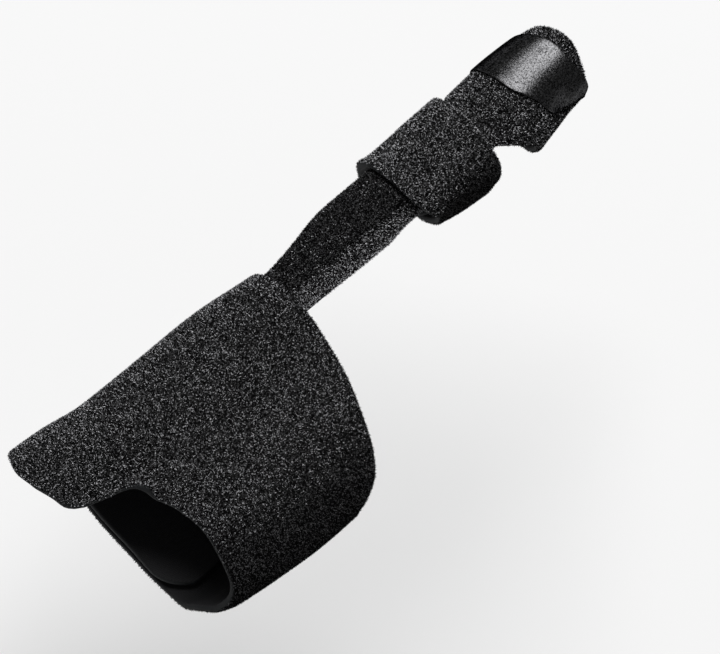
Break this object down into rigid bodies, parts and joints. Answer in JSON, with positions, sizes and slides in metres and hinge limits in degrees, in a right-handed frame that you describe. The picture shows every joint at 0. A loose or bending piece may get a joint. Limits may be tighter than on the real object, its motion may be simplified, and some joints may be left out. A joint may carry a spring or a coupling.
{
  "type": "finger splint",
  "caption": "Soft finger splint in worn form: stiff strip on the back of hand and finger, wide palm wrap with wrist tongue, finger strap, wings round the fingertip with a smooth patch",
  "frame": {"origin": "middle of the hollow that the palm fills, below the back of the hand", "axes": "+X from the wrist towards the fingertips along the hand, +Y to the side of the thumb, +Z out of the back of the hand"},
  "size_m": [0.2069, 0.0831, 0.0371],
  "materials": {
    "plush": "black brushed loop plush on foam laminate, matt with fine pale specks",
    "satin": "smooth close-woven black satin tape, soft sheen",
    "hook_tape": "matt black hook tape"
  },
  "bodies": {
    "root": {"back_strip": "plush", "hand_wrap": "plush", "finger_strap": "plush", "tip_patch": "satin", "wrap_hook_tab": "hook_tape", "strap_hook_tab": "hook_tape", "wing_hook_tab": "hook_tape"}
  },
  "joints": []
}
